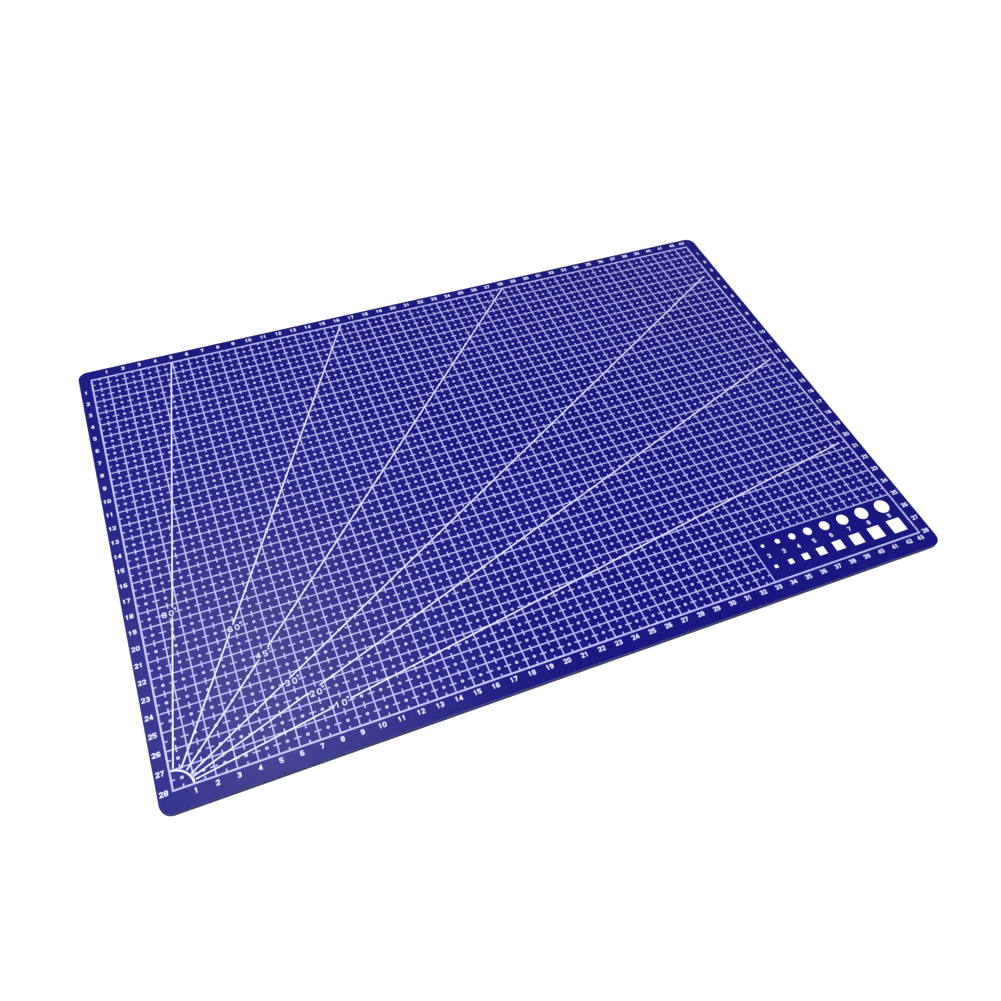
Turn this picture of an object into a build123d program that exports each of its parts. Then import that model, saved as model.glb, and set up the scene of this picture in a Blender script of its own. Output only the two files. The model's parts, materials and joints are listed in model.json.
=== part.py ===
from build123d import *
import math
import os

# Self healing cutting mat for leatherwork: three bonded sheets and a printed scale.
# Millimetres. Origin at the middle of the underside, +X along the long side,
# +Y away from the user, +Z up through the printed working face.

# Overall sizes
mat_length = 446.0
mat_width = 299.0
corner_radius = 6.0
skin_thickness = 1.0    # each self healing outer sheet
core_thickness = 1.0    # stiff sheet between them
edge_break = 0.25       # softened rim of both outer sheets

# Printed grid
ink = 0.05              # height of the ink above the sheet
pitch = 10.0            # one centimetre squares
least_margin = 7.0      # bare rim that the grid always leaves
print_shift_x = -0.55   # the print sits slightly left of the middle
print_shift_y = 1.15    # and slightly towards the back
grid_line = 0.6
border_line = 0.9
dot_diameter = 1.7
tick_length = 1.35      # reach of a half centimetre tick from its line
tick_width = 0.65

# Angle lines, drawn from the front left corner of the grid
angles = (80, 60, 45, 30, 20, 10)
angle_line = 0.7
arc_line = 0.9
arc_inset = 0.2         # the arc runs this far inside the first square
angle_gap = 0.65        # clear space between the arc and every angle line

# Square that holds each angle label: column from the left, row from the front
label_cells = {80: (1, 9), 60: (4, 7), 45: (5, 5), 30: (6, 3), 20: (7, 2), 10: (8, 1)}

# Numerals
scale_digit = (1.85, 2.7, 0.5)    # width, height, stroke
scale_advance = 2.15
label_digit = (2.3, 3.3, 0.5)
label_advance = 3.6
label_shift = (-0.6, -0.25)       # middle of the numerals, from the middle of the square
degree_shift = (3.4, 1.9)         # degree ring, from the middle of the square
degree_diameter = 1.25
degree_stroke = 0.35
label_clearance = 0.25            # space between a label and its angle line
dot_clearance = 0.05              # dots nearer than this to an angle line are left out
number_gap_front = 3.3            # grid edge to numeral centre line
number_gap_back = 4.7
number_gap_left = 4.3
number_gap_right = 4.4
last_number_tuck = 1.7            # the last front and back numbers step inwards

# Hole gauge printed in the front right corner of the grid
gauge_sizes = (2, 3, 4, 5, 6, 7, 8, 9)
gauge_first = 6.4                 # first shape from the left side of the block
gauge_spare = 6.3                 # clear space between neighbouring shapes
gauge_least_step = 10.0           # small shapes stand at least this far apart
gauge_square_y = 8.9              # rows measured up from the front of the block
gauge_number_y = 16.5
gauge_circle_y = 23.6
gauge_rim = 1.0                   # bare space kept inside the block's frame

# Derived sizes
mat_thickness = 2 * skin_thickness + core_thickness
columns = int((mat_length - 2 * least_margin) / pitch)
rows = int((mat_width - 2 * least_margin) / pitch)
left = print_shift_x - columns * pitch / 2
right = left + columns * pitch
front = print_shift_y - rows * pitch / 2
back = front + rows * pitch

# Places of the gauge shapes from the left side of their block, and the squares it takes up
gauge_places = [gauge_first]
for smaller, larger in zip(gauge_sizes, gauge_sizes[1:]):
    step = max(gauge_least_step, (smaller + larger) / 2 + gauge_spare)
    gauge_places.append(gauge_places[-1] + step)
gauge_length = gauge_places[-1] + gauge_sizes[-1] / 2 + gauge_rim
gauge_depth = gauge_circle_y + gauge_sizes[-1] / 2 + gauge_rim
gauge_columns = math.ceil(gauge_length / pitch)
gauge_rows = math.ceil(gauge_depth / pitch)
gauge_left = right - gauge_columns * pitch
gauge_back = front + gauge_rows * pitch

os.makedirs("parts", exist_ok=True)


def save(name, solids):
    """Write one named piece, or a group of separate solids, to its own file."""
    export_step(Compound(solids), f"parts/{name}.step", write_pcurves=False)


def flat_wire(corners):
    """Closed outline on the printed face."""
    points = [(x, y, mat_thickness) for x, y in corners]
    return Wire.make_polygon(points, close=True)


def ink_block(x0, y0, x1, y1):
    """Rectangle of ink on the printed face."""
    middle = Pos((x0 + x1) / 2, (y0 + y1) / 2, mat_thickness + ink / 2)
    return middle * Box(x1 - x0, y1 - y0, ink)


def raise_ink(sketch, x=0.0, y=0.0):
    """Solid ink from a flat shape, moved to its place on the printed face."""
    return Pos(x, y, mat_thickness) * extrude(sketch, ink, dir=(0, 0, 1))


# ---- sheets -----------------------------------------------------------------

def sheet(bottom, thickness, rim=None):
    """Rounded sheet; rim names the face whose outer edge is softened."""
    outline = RectangleRounded(mat_length, mat_width, corner_radius)
    body = Pos(0, 0, bottom) * extrude(outline, thickness)
    if rim:
        face = body.faces().sort_by(Axis.Z)[-1 if rim == "top" else 0]
        body = fillet(face.edges(), edge_break)
    return body


bottom_sheet = sheet(0, skin_thickness, rim="bottom")
core_sheet = sheet(skin_thickness, core_thickness)
top_sheet = sheet(skin_thickness + core_thickness, skin_thickness, rim="top")


# ---- numerals ---------------------------------------------------------------

def bar(x0, y0, x1, y1, stroke):
    """Straight stroke between two points, with square ends half a stroke longer."""
    length = math.hypot(x1 - x0, y1 - y0) + stroke
    turn = math.degrees(math.atan2(y1 - y0, x1 - x0))
    return Pos((x0 + x1) / 2, (y0 + y1) / 2) * Rot(0, 0, turn) * Rectangle(length, stroke)


def loop(bottom, height, width, stroke):
    """Closed round stroke, as in the bowls of 6, 8 and 9."""
    outer = RectangleRounded(width, height, min(width, height) * 0.47)
    inside = RectangleRounded(
        width - 2 * stroke, height - 2 * stroke, (min(width, height) - 2 * stroke) * 0.45
    )
    return Pos(0, bottom + height / 2) * (outer - inside)


def patch(x0, y0, x1, y1):
    return Pos((x0 + x1) / 2, (y0 + y1) / 2) * Rectangle(x1 - x0, y1 - y0)


def digit_shape(digit, width, height, stroke):
    """Flat numeral centred on x = 0, y = 0."""
    side = width / 2 - stroke / 2
    top = height - stroke / 2
    base = stroke / 2
    bowl = height / 2 + stroke / 2
    if digit == 0:
        shape = loop(0, height, width, stroke)
    elif digit == 1:
        shape = bar(0, base, 0, top, stroke) + bar(-side * 0.7, top * 0.8, 0, top, stroke * 0.8)
    elif digit == 2:
        hook = loop(height - bowl, bowl, width, stroke)
        hook -= patch(-width, 0, 0, height - bowl / 2)
        hook -= patch(-width, 0, width, height - bowl * 0.62)
        slope = bar(side * 0.95, height - bowl * 0.6, -side * 0.9, base, stroke)
        slope &= patch(-width / 2, 0, width / 2, height - bowl * 0.35)
        shape = hook + slope + bar(-side, base, side, base, stroke)
    elif digit == 3:
        shape = loop(0, bowl, width, stroke) + loop(height - bowl, bowl, width, stroke)
        shape -= patch(-width, height * 0.24, -width * 0.04, height * 0.76)
        shape += bar(-side * 0.1, height / 2, side * 0.3, height / 2, stroke)
    elif digit == 4:
        shape = bar(side * 0.5, base, side * 0.5, top, stroke)
        shape += bar(-side, height * 0.3, side, height * 0.3, stroke)
        shape += bar(-side * 0.95, height * 0.32, side * 0.4, top, stroke)
        shape &= patch(-width / 2, 0, width / 2, height)
    elif digit == 5:
        belly = height * 0.62
        shape = loop(0, belly, width, stroke)
        shape -= patch(-width, height * 0.22, -width * 0.02, belly - stroke)
        shape += bar(-side, belly - base, -side, top, stroke) + bar(-side, top, side, top, stroke)
        shape += bar(-side, belly - base, 0, belly - base, stroke)
    elif digit == 7:
        shape = bar(-side, top, side, top, stroke) + bar(side * 0.9, top, -side * 0.3, base, stroke)
        shape &= patch(-width / 2, 0, width / 2, height)
    elif digit == 8:
        shape = loop(0, bowl, width, stroke) + loop(height - bowl, bowl, width, stroke)
    else:
        shape = loop(0, height, width, stroke)
        shape -= patch(0, height * 0.4, width, height * 0.76)
        shape += loop(0, height * 0.6, width, stroke)
    centred = Pos(0, -height / 2) * shape
    return Rot(0, 0, 180) * centred if digit == 9 else centred


def digit_set(style):
    return [raise_ink(digit_shape(digit, *style)) for digit in range(10)]


def number(value, x, y, digits, advance):
    """The numerals of a number, centred on x, y."""
    text = str(value)
    start = x - (len(text) - 1) * advance / 2
    return [Pos(start + i * advance, y) * digits[int(mark)] for i, mark in enumerate(text)]


# ---- angle labels, angle lines and origin arc ----------------------------------

def label_middle(angle):
    """Middle of the square that holds an angle's label, measured from the grid's corner."""
    column, row = label_cells[angle]
    return (column + 0.5) * pitch, (row + 0.5) * pitch


label_digits = digit_set(label_digit)
degree = raise_ink(Circle(degree_diameter / 2) - Circle(degree_diameter / 2 - degree_stroke))
angle_labels = []
for angle in angles:
    x, y = label_middle(angle)
    x += left
    y += front
    middle = (x + label_shift[0], y + label_shift[1])
    angle_labels += number(angle, *middle, label_digits, label_advance)
    angle_labels.append(Pos(x + degree_shift[0], y + degree_shift[1]) * degree)


def line_reach(angle):
    """Length of an angle line: to the back border, or half a square short of the right one."""
    slope = math.radians(angle)
    to_back = (rows * pitch - border_line / 2) / math.sin(slope)
    to_right = (columns - 0.5) * pitch / math.cos(slope)
    return min(to_back, to_right), to_back < to_right


def span_in_box(angle, x, y, half_x, half_y):
    """Where an angle line enters and leaves a box around x, y, as distances along the line."""
    slope = math.radians(angle)
    room = label_clearance + angle_line / 2
    starts = ((x - half_x - room) / math.cos(slope), (y - half_y - room) / math.sin(slope))
    ends = ((x + half_x + room) / math.cos(slope), (y + half_y + room) / math.sin(slope))
    return (max(starts), min(ends)) if max(starts) < min(ends) else None


def label_break(angle):
    """The part of an angle line that is left out for its label."""
    x, y = label_middle(angle)
    width, height, _ = label_digit
    text_x, text_y = x + label_shift[0], y + label_shift[1]
    ring_x, ring_y = x + degree_shift[0], y + degree_shift[1]
    ring = degree_diameter / 2
    spans = [
        span_in_box(angle, text_x, text_y, (label_advance + width) / 2, height / 2),
        span_in_box(angle, ring_x, ring_y, ring, ring),
    ]
    crossed = [span for span in spans if span]
    return min(span[0] for span in crossed), max(span[1] for span in crossed)


def strip(angle, start, end, meets_border=False):
    """One straight piece of an angle line, cut along the border where it meets it."""
    slope = math.radians(angle)
    along = (math.cos(slope), math.sin(slope))
    across = (-along[1] * angle_line / 2, along[0] * angle_line / 2)
    slant = angle_line / 2 / math.tan(slope) if meets_border else 0.0
    ends = [(start, 1), (start, -1), (end + slant, -1), (end - slant, 1)]
    corners = []
    for distance, side in ends:
        x = left + along[0] * distance + across[0] * side
        y = front + along[1] * distance + across[1] * side
        corners.append((x, y))
    return extrude(Face(flat_wire(corners)), ink, dir=(0, 0, 1))


arc_radius = pitch - arc_inset
arc_outer = arc_radius + arc_line / 2
arc_ring = Circle(arc_outer) - Circle(arc_radius - arc_line / 2)
arc_window = Pos(border_line / 2, border_line / 2) * Rectangle(
    arc_outer, arc_outer, align=(Align.MIN, Align.MIN)
)
origin_arc = raise_ink(arc_ring & arc_window, left, front)

angle_lines = []
for angle in angles:
    reach, meets_border = line_reach(angle)
    gap_start, gap_end = label_break(angle)
    angle_lines.append(strip(angle, arc_outer + angle_gap, gap_start))
    angle_lines.append(strip(angle, gap_end, reach, meets_border))


# ---- border and centimetre grid ----------------------------------------------

def line_half(index, count):
    """Half width of grid line number index; the first and last are the heavier border."""
    return border_line / 2 if index in (0, count) else grid_line / 2


def edges_of(solid):
    """Lowest and highest x, then lowest and highest y."""
    box = solid.bounding_box()
    return box.min.X, box.max.X, box.min.Y, box.max.Y


overprint = [(mark, edges_of(mark)) for mark in (*angle_lines, *angle_labels, origin_arc)]


def cut_clear(block):
    """The pieces of an ink block that the angle lines, their labels and the arc leave free."""
    x0, x1, y0, y1 = edges_of(block)
    crossing = []
    for mark, (low_x, high_x, low_y, high_y) in overprint:
        if low_x < x1 and high_x > x0 and low_y < y1 and high_y > y0:
            crossing.append(mark)
    return list((block - crossing).solids()) if crossing else [block]


rim = border_line / 2
outside = Rectangle(right - left + border_line, back - front + border_line)
inside = Rectangle(right - left - border_line, back - front - border_line)
border = raise_ink(outside - inside, print_shift_x, print_shift_y)

# Crosswise lines run unbroken from front to back, except above the gauge block.
crosswise_lines = []
for column in range(1, columns):
    x = left + column * pitch
    foot = gauge_back + grid_line / 2 if x > gauge_left + pitch / 2 else front + rim
    line = ink_block(x - grid_line / 2, foot, x + grid_line / 2, back - rim)
    crosswise_lines += cut_clear(line)

# Lengthwise lines fill the spaces between the crosswise ones.
lengthwise_lines = []
for row in range(1, rows):
    y = front + row * pitch
    for column in range(columns):
        x0 = left + column * pitch + line_half(column, columns)
        x1 = left + (column + 1) * pitch - line_half(column + 1, columns)
        over_gauge = column - (columns - gauge_columns)
        if over_gauge >= 0 and row <= gauge_rows:
            if row < gauge_rows or over_gauge > 0:
                continue
            x1 = right - rim
        segment = ink_block(x0, y - grid_line / 2, x1, y + grid_line / 2)
        lengthwise_lines += cut_clear(segment)

cell_centres = []
for column in range(columns):
    for row in range(rows):
        in_gauge = column >= columns - gauge_columns and row < gauge_rows
        if not in_gauge and (column, row) not in label_cells.values():
            cell_centres.append((left + (column + 0.5) * pitch, front + (row + 0.5) * pitch))


# ---- half centimetre ticks along the border, and centre dots ------------------

half_steps_x = [left + (column + 0.5) * pitch for column in range(columns)]
half_steps_y = [front + (row + 0.5) * pitch for row in range(rows)]
half_tick = tick_width / 2
tick_blocks = []
for x in half_steps_x:
    foot = gauge_back + grid_line / 2 if x > gauge_left else front + rim
    tick_blocks.append(ink_block(x - half_tick, foot, x + half_tick, foot + tick_length))
    top = back - rim
    tick_blocks.append(ink_block(x - half_tick, top - tick_length, x + half_tick, top))
for y in half_steps_y:
    foot = left + rim
    tick_blocks.append(ink_block(foot, y - half_tick, foot + tick_length, y + half_tick))
    end = gauge_left - grid_line / 2 if y < gauge_back else right - rim
    tick_blocks.append(ink_block(end - tick_length, y - half_tick, end, y + half_tick))
ticks = [piece for block in tick_blocks for piece in cut_clear(block)]


def clear_of_lines(x, y):
    """True where a dot at x, y touches none of the angle lines."""
    for angle in angles:
        slope = math.radians(angle)
        away = abs((y - front) * math.cos(slope) - (x - left) * math.sin(slope))
        if away < (angle_line + dot_diameter) / 2 + dot_clearance:
            return False
    return True


dot = raise_ink(Circle(dot_diameter / 2))
centre_dots = [Pos(x, y) * dot for x, y in cell_centres if clear_of_lines(x, y)]


# ---- edge scales ------------------------------------------------------------

scale_digits = digit_set(scale_digit)
front_numbers = []
back_numbers = []
for value in range(1, columns + 1):
    x = left + value * pitch
    if value == columns:
        x -= last_number_tuck
    front_numbers += number(value, x, front - number_gap_front, scale_digits, scale_advance)
    back_numbers += number(value, x, back + number_gap_back, scale_digits, scale_advance)
left_numbers = []
right_numbers = []
for value in range(1, rows + 1):
    y = back - value * pitch
    left_numbers += number(value, left - number_gap_left, y, scale_digits, scale_advance)
    right_numbers += number(value, right + number_gap_right, y, scale_digits, scale_advance)


# ---- hole gauge -------------------------------------------------------------

circles = []
squares = []
gauge_numbers = []
for size, place in zip(gauge_sizes, gauge_places):
    x = gauge_left + place
    circles.append(raise_ink(Circle(size / 2), x, front + gauge_circle_y))
    squares.append(raise_ink(Rectangle(size, size), x, front + gauge_square_y))
    gauge_numbers += number(size, x, front + gauge_number_y, scale_digits, scale_advance)


save("bottom_sheet", [bottom_sheet])
save("core_sheet", [core_sheet])
save("top_sheet", [top_sheet])
save("border_line", [border])
save("crosswise_grid_lines", crosswise_lines)
save("lengthwise_grid_lines", lengthwise_lines)
save("border_half_cm_ticks", ticks)
save("square_centre_dots", centre_dots)
save("angle_lines", angle_lines)
save("origin_arc", [origin_arc])
save("angle_labels", angle_labels)
save("front_scale_numbers", front_numbers)
save("back_scale_numbers", back_numbers)
save("left_scale_numbers", left_numbers)
save("right_scale_numbers", right_numbers)
save("circle_gauge", circles)
save("square_gauge", squares)
save("gauge_numbers", gauge_numbers)
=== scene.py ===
import json
import math

import bpy
from mathutils import Matrix, Vector


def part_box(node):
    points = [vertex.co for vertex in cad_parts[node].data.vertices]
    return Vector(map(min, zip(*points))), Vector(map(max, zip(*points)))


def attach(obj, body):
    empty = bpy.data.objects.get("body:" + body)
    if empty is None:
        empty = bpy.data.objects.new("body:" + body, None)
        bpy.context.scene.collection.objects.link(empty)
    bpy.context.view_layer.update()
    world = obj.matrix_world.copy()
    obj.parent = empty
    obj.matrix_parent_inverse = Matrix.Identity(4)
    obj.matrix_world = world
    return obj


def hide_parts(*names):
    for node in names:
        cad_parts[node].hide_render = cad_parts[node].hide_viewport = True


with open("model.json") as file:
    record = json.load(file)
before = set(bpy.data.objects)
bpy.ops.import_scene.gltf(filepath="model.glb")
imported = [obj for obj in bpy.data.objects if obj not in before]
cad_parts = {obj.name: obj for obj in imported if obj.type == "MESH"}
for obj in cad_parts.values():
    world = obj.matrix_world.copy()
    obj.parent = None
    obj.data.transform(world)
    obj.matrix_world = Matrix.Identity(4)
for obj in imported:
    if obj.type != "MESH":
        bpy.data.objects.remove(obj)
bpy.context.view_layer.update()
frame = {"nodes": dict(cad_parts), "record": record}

MM = 0.001

# ---- sizes of the print; the grid's place and counts are read from the frame -------
BORDER_LINE = 0.9 * MM
PITCH = 10 * MM
border_low, border_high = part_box("border_line")
GRID_LEFT = border_low.x + BORDER_LINE / 2
GRID_RIGHT = border_high.x - BORDER_LINE / 2
GRID_FRONT = border_low.y + BORDER_LINE / 2
GRID_BACK = border_high.y - BORDER_LINE / 2
FACE = border_low.z                      # the printed top face of the mat
COLUMNS = round((GRID_RIGHT - GRID_LEFT) / PITCH)
ROWS = round((GRID_BACK - GRID_FRONT) / PITCH)
GAUGE_COLUMNS = 10                       # the hole gauge takes this corner of the grid
GAUGE_ROWS = 3
LABEL_CELLS = {(1, 9), (4, 7), (5, 5), (6, 3), (7, 2), (8, 1)}    # column, row
TICK_REACH = 1.8 * MM                    # from the middle of the line
TICK_HALF_WIDTH = 0.325 * MM
DOT_RADIUS = 0.85 * MM
DOT_SIDES = 24
TICK_HEIGHT = 0.044 * MM                 # ticks and dots are lower than the frame's own print,
DOT_HEIGHT = 0.046 * MM                  # so that crossing marks never share a top face
RIM_FADE_START = 0.05 * MM               # the skins turn dull, and darker with painted shade, from this depth below each face
RIM_FADE_END = 0.25 * MM                 # and are as dull and as darkly shaded as the cut rim gets from this one


# ---- camera -------------------------------------------------------------------
def place_camera():
    """The main view: in front of the mat and left of its middle, looking down to the right."""
    centre = Vector(((GRID_LEFT + GRID_RIGHT) / 2, (GRID_FRONT + GRID_BACK) / 2, FACE))
    seat = centre + Vector((-0.1544, -0.3272, 0.4267))
    turn, down, roll = (math.radians(angle) for angle in (26.03, 52.58, 5.00))
    ahead = Vector((math.sin(turn) * math.cos(down), math.cos(turn) * math.cos(down), -math.sin(down)))
    level = ahead.cross(Vector((0, 0, 1))).normalized()
    rise = level.cross(ahead)
    right = level * math.cos(roll) + rise * math.sin(roll)
    up = rise * math.cos(roll) - level * math.sin(roll)
    axes = Matrix((right, up, -ahead)).transposed().to_4x4()
    data = bpy.data.cameras.new("camera")
    data.sensor_width = 36
    data.lens = 33.05
    data.shift_x = 0.0055
    data.clip_start = 0.01
    camera = bpy.data.objects.new("camera", data)
    camera.matrix_world = Matrix.Translation(seat) @ axes
    bpy.context.scene.collection.objects.link(camera)
    bpy.context.scene.camera = camera


place_camera()


# ---- material helpers -----------------------------------------------------------
MIX_FACTOR = 0                           # sockets of a Mix node that mixes colours
MIX_FIRST = 6
MIX_SECOND = 7
MIX_RESULT = 2


class Nodes:
    """Short way to build a node material."""

    def __init__(self, name):
        self.material = bpy.data.materials.new(name)
        self.material.use_nodes = True
        self.tree = self.material.node_tree
        self.shader = next(n for n in self.tree.nodes if n.type == "BSDF_PRINCIPLED")
        self.where = self.add("ShaderNodeTexCoord").outputs["Object"]

    def add(self, kind, **settings):
        node = self.tree.nodes.new(kind)
        for key, value in settings.items():
            setattr(node, key, value)
        return node

    def link(self, source, target):
        self.tree.links.new(source, target)

    def noise(self, scale, detail=2.0, roughness=0.5, distortion=0.0, stretch=None):
        node = self.add("ShaderNodeTexNoise")
        node.inputs["Scale"].default_value = scale
        node.inputs["Detail"].default_value = detail
        node.inputs["Roughness"].default_value = roughness
        node.inputs["Distortion"].default_value = distortion
        place = self.where
        if stretch:
            mapping = self.add("ShaderNodeMapping")
            mapping.inputs["Scale"].default_value = stretch
            self.link(place, mapping.inputs["Vector"])
            place = mapping.outputs["Vector"]
        self.link(place, node.inputs["Vector"])
        return node.outputs["Fac"]

    def ramp(self, source, low, high, colours):
        node = self.add("ShaderNodeValToRGB")
        node.color_ramp.elements[0].position = low
        node.color_ramp.elements[1].position = high
        node.color_ramp.elements[0].color = (*colours[0], 1)
        node.color_ramp.elements[1].color = (*colours[1], 1)
        self.link(source, node.inputs["Fac"])
        return node.outputs["Color"]

    def remap(self, source, low, high, to_low, to_high):
        node = self.add("ShaderNodeMapRange")
        for key, value in zip(("From Min", "From Max", "To Min", "To Max"), (low, high, to_low, to_high)):
            node.inputs[key].default_value = value
        self.link(source, node.inputs["Value"])
        return node.outputs["Result"]

    def mix(self, factor, first, second):
        node = self.add("ShaderNodeMix", data_type="RGBA")
        for key, value in ((MIX_FACTOR, factor), (MIX_FIRST, first), (MIX_SECOND, second)):
            if isinstance(value, (int, float)):
                node.inputs[key].default_value = value
            elif isinstance(value, tuple):
                node.inputs[key].default_value = (*value, 1)
            else:
                self.link(value, node.inputs[key])
        return node.outputs[MIX_RESULT]

    def sum(self, first, second, share=1.0):
        """The first value plus a share of the second."""
        node = self.add("ShaderNodeMath", operation="MULTIPLY_ADD")
        node.inputs[1].default_value = share
        self.link(second, node.inputs[0])
        self.link(first, node.inputs[2])
        return node.outputs[0]

    def times(self, first, second):
        node = self.add("ShaderNodeMath", operation="MULTIPLY")
        self.link(first, node.inputs[0])
        self.link(second, node.inputs[1])
        return node.outputs[0]

    def bump(self, height, strength, distance):
        node = self.add("ShaderNodeBump")
        node.inputs["Strength"].default_value = strength
        node.inputs["Distance"].default_value = distance
        self.link(height, node.inputs["Height"])
        self.link(node.outputs["Normal"], self.shader.inputs["Normal"])

    def colour(self, source):
        self.link(source, self.shader.inputs["Base Color"])

    def roughness(self, source):
        self.link(source, self.shader.inputs["Roughness"])


def skin_material():
    """Soft satin PVC of the outer sheets: deep royal blue, finely grained, duller on the cut rim, where its
    colour is darkened with painted shade.
    """
    m = Nodes("blue_pvc_skin")
    clouds = m.noise(9, detail=3)
    specks = m.noise(900, detail=2, roughness=0.6)
    base = m.ramp(clouds, 0.3, 0.7, ((0.0020, 0.0017, 0.138), (0.0030, 0.0026, 0.160)))
    pale = m.ramp(specks, 0.62, 0.80, ((0, 0, 0), (0.16, 0.16, 0.16)))
    face = m.mix(pale, base, (0.025, 0.025, 0.32))
    height = m.add("ShaderNodeSeparateXYZ")
    m.link(m.where, height.inputs["Vector"])
    under = m.remap(height.outputs["Z"], RIM_FADE_START, RIM_FADE_END, 0.0, 1.0)
    over = m.remap(height.outputs["Z"], FACE - RIM_FADE_END, FACE - RIM_FADE_START, 1.0, 0.0)
    rim = m.times(under, over)
    # painted shade: near the cut rim the colour goes to a near-black blue, so the side faces look shaded
    m.colour(m.mix(rim, face, (0.003, 0.003, 0.035)))
    grain = m.noise(1400, detail=3, roughness=0.55)
    swell = m.noise(160, detail=2)
    scuffs = m.noise(70, detail=4, roughness=0.6, distortion=0.4, stretch=(1.0, 0.18, 1.0))
    rough = m.remap(clouds, 0.3, 0.7, 0.31, 0.35)
    rough = m.sum(rough, m.remap(scuffs, 0.6, 0.8, 0.0, 1.0), 0.06)
    m.roughness(m.sum(rough, rim, 0.45))
    m.bump(m.sum(grain, swell, 0.35), 0.32, 0.00006)
    m.shader.inputs["Specular IOR Level"].default_value = 0.34
    return m.material


def core_material():
    """Stiffer, duller sheet, seen only on the cut rim."""
    m = Nodes("blue_pvc_core")
    streaks = m.noise(260, detail=3, stretch=(0.2, 0.2, 3.0))
    m.colour(m.ramp(streaks, 0.3, 0.7, ((0.004, 0.004, 0.040), (0.007, 0.007, 0.058))))
    m.roughness(m.remap(streaks, 0.3, 0.7, 0.50, 0.62))
    m.bump(streaks, 0.3, 0.00008)
    m.shader.inputs["Specular IOR Level"].default_value = 0.08
    return m.material


def ink_material(name, dark, light):
    """Matt screen ink: slightly uneven in weight, with the sheet's grain showing through."""
    m = Nodes(name)
    uneven = m.noise(420, detail=3, roughness=0.6)
    m.colour(m.ramp(uneven, 0.28, 0.62, (dark, light)))
    m.roughness(m.remap(uneven, 0.3, 0.7, 0.48, 0.58))
    m.bump(m.noise(1500, detail=2), 0.25, 0.00004)
    m.shader.inputs["Specular IOR Level"].default_value = 0.35
    return m.material


SKIN = skin_material()
CORE = core_material()
RULING = ink_material("lavender_ruling_ink", (0.30, 0.31, 0.64), (0.41, 0.42, 0.77))
NUMERAL = ink_material("pale_numeral_ink", (0.50, 0.51, 0.78), (0.64, 0.65, 0.88))
GAUGE = ink_material("white_gauge_ink", (0.84, 0.84, 0.90), (0.93, 0.93, 0.96))

PAINT = {
    "skin_sheet": SKIN,
    "core_sheet": CORE,
    "ruling_ink": RULING,
    "numeral_ink": NUMERAL,
    "gauge_ink": GAUGE,
}
slot_of = {part["node"]: part["material_slot"] for part in frame["record"]["subparts"]}
for node, piece in frame["nodes"].items():
    piece.data.materials.clear()
    piece.data.materials.append(PAINT[slot_of[node]])


# ---- fine print the frame leaves to the looks -----------------------------------
def add_print(name, outlines, material, height):
    """One mesh of many low prisms of ink, each from a flat outline on the printed face."""
    points = []
    faces = []
    for outline in outlines:
        first = len(points)
        count = len(outline)
        points += [(x, y, FACE) for x, y in outline]
        points += [(x, y, FACE + height) for x, y in outline]
        faces.append([first + i for i in reversed(range(count))])
        faces.append([first + count + i for i in range(count)])
        for i in range(count):
            j = (i + 1) % count
            faces.append([first + i, first + j, first + count + j, first + count + i])
    mesh = bpy.data.meshes.new(name)
    mesh.from_pydata(points, [], faces)
    mesh.materials.append(material)
    mesh.update()
    piece = bpy.data.objects.new(name, mesh)
    bpy.context.scene.collection.objects.link(piece)
    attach(piece, "root")
    return piece


def box_outline(x0, y0, x1, y1):
    return [(x0, y0), (x1, y0), (x1, y1), (x0, y1)]


def round_outline(x, y, radius, sides):
    step = 2 * math.pi / sides
    return [(x + radius * math.cos(i * step), y + radius * math.sin(i * step)) for i in range(sides)]


def in_grid(column, row):
    """True for a square that lies in the grid and isn't taken up by the hole gauge."""
    in_gauge = column >= COLUMNS - GAUGE_COLUMNS and row < GAUGE_ROWS
    return 0 <= column < COLUMNS and 0 <= row < ROWS and not in_gauge


def add_ticks():
    """Short strokes that mark the half centimetre on every grid line and the border.

    They reach only into squares of the grid, so they stop at the border and at the gauge.
    """
    outlines = []
    for column in range(COLUMNS):
        x = GRID_LEFT + (column + 0.5) * PITCH
        for row in range(ROWS + 1):
            y = GRID_FRONT + row * PITCH
            below = TICK_REACH if in_grid(column, row - 1) else 0
            above = TICK_REACH if in_grid(column, row) else 0
            if below or above:
                sides = (x - TICK_HALF_WIDTH, y - below, x + TICK_HALF_WIDTH, y + above)
                outlines.append(box_outline(*sides))
    for row in range(ROWS):
        y = GRID_FRONT + (row + 0.5) * PITCH
        for column in range(COLUMNS + 1):
            x = GRID_LEFT + column * PITCH
            before = TICK_REACH if in_grid(column - 1, row) else 0
            after = TICK_REACH if in_grid(column, row) else 0
            if before or after:
                sides = (x - before, y - TICK_HALF_WIDTH, x + after, y + TICK_HALF_WIDTH)
                outlines.append(box_outline(*sides))
    ticks = add_print("half_cm_ticks", outlines, RULING, TICK_HEIGHT)
    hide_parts("border_half_cm_ticks")


def add_dots():
    """A round dot in the middle of every square, save those of the gauge and the labels."""
    outlines = []
    for column in range(COLUMNS):
        for row in range(ROWS):
            if not in_grid(column, row) or (column, row) in LABEL_CELLS:
                continue
            x = GRID_LEFT + (column + 0.5) * PITCH
            y = GRID_FRONT + (row + 0.5) * PITCH
            outlines.append(round_outline(x, y, DOT_RADIUS, DOT_SIDES))
    dots = add_print("square_dots", outlines, RULING, DOT_HEIGHT)
    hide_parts("square_centre_dots")


add_ticks()
add_dots()


# ---- studio ---------------------------------------------------------------------
FLOOR_HALF = 30.0
FLOOR_GAP = 0.2 * MM                     # so that the floor and the underside share no face


def floor_corners(half):
    low = -FLOOR_GAP
    return [(-half, -half, low), (half, -half, low), (half, half, low), (-half, half, low)]


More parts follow.
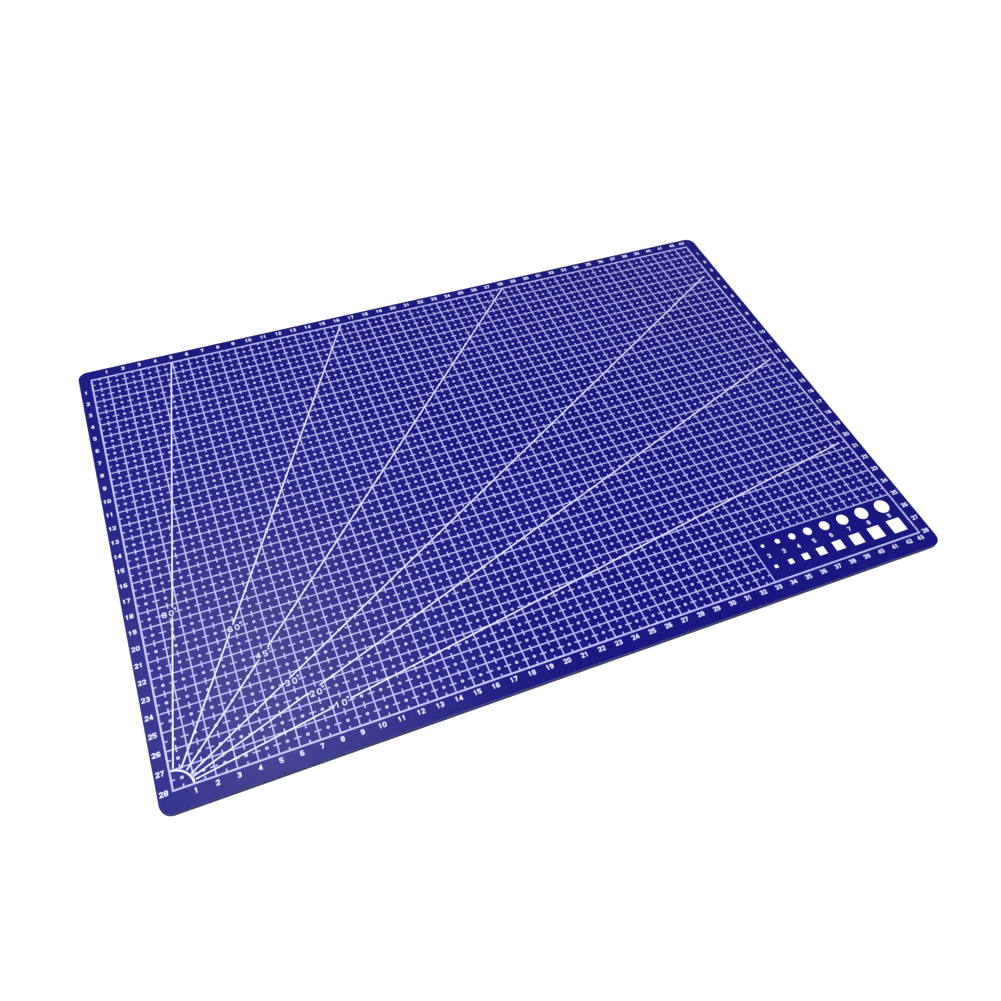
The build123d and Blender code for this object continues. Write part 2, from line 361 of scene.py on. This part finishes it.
def add_floor():
    mesh = bpy.data.meshes.new("floor")
    mesh.from_pydata(floor_corners(FLOOR_HALF), [], [[0, 1, 2, 3]])
    floor = bpy.data.objects.new("floor", mesh)
    bpy.context.scene.collection.objects.link(floor)
    m = Nodes("floor_white")
    m.shader.inputs["Base Color"].default_value = (0.94, 0.94, 0.94, 1)
    m.shader.inputs["Roughness"].default_value = 0.9
    m.shader.inputs["Specular IOR Level"].default_value = 0.1
    mesh.materials.append(m.material)


def add_softbox(name, place, aim, size, watts):
    data = bpy.data.lights.new(name, "AREA")
    data.shape = "RECTANGLE"
    data.size, data.size_y = size
    data.energy = watts
    light = bpy.data.objects.new(name, data)
    light.location = place
    light.rotation_euler = (Vector(aim) - Vector(place)).to_track_quat("-Z", "Y").to_euler()
    bpy.context.scene.collection.objects.link(light)


def add_sun(name, from_direction, strength):
    """Even light from a broad soft source far away."""
    data = bpy.data.lights.new(name, "SUN")
    data.energy = strength
    data.angle = math.radians(40)
    light = bpy.data.objects.new(name, data)
    light.rotation_euler = Vector(from_direction).to_track_quat("Z", "Y").to_euler()
    bpy.context.scene.collection.objects.link(light)


def add_world():
    """Bright at the horizon and dim overhead. The mat's flat face mirrors the dim part in the main view."""
    world = bpy.data.worlds.new("studio")
    world.use_nodes = True
    tree = world.node_tree
    background = tree.nodes["Background"]
    where = tree.nodes.new("ShaderNodeTexCoord")
    split = tree.nodes.new("ShaderNodeSeparateXYZ")
    ramp = tree.nodes.new("ShaderNodeValToRGB")
    ramp.color_ramp.elements[0].position = 0.24
    ramp.color_ramp.elements[0].color = (1, 1, 1, 1)
    ramp.color_ramp.elements[1].position = 0.46
    ramp.color_ramp.elements[1].color = (0.035, 0.035, 0.04, 1)
    tree.links.new(where.outputs["Generated"], split.inputs["Vector"])
    tree.links.new(split.outputs["Z"], ramp.inputs["Fac"])
    tree.links.new(ramp.outputs["Color"], background.inputs["Color"])
    bpy.context.scene.world = world


add_floor()
add_world()
add_softbox(
    "sheen_softbox", place=(-0.19, 0.58, 1.38), aim=(-0.02, -0.02, 0), size=(0.40, 0.50), watts=3.2
)
add_softbox(
    "key_softbox", place=(-0.62, -0.50, 0.95), aim=(-0.05, -0.02, 0), size=(0.55, 0.55), watts=9.5
)
add_sun("front_sun", from_direction=(0.25, -0.50, 0.83), strength=2.85)
bpy.context.scene.view_settings.view_transform = "Standard"
bpy.context.scene.view_settings.look = "None"
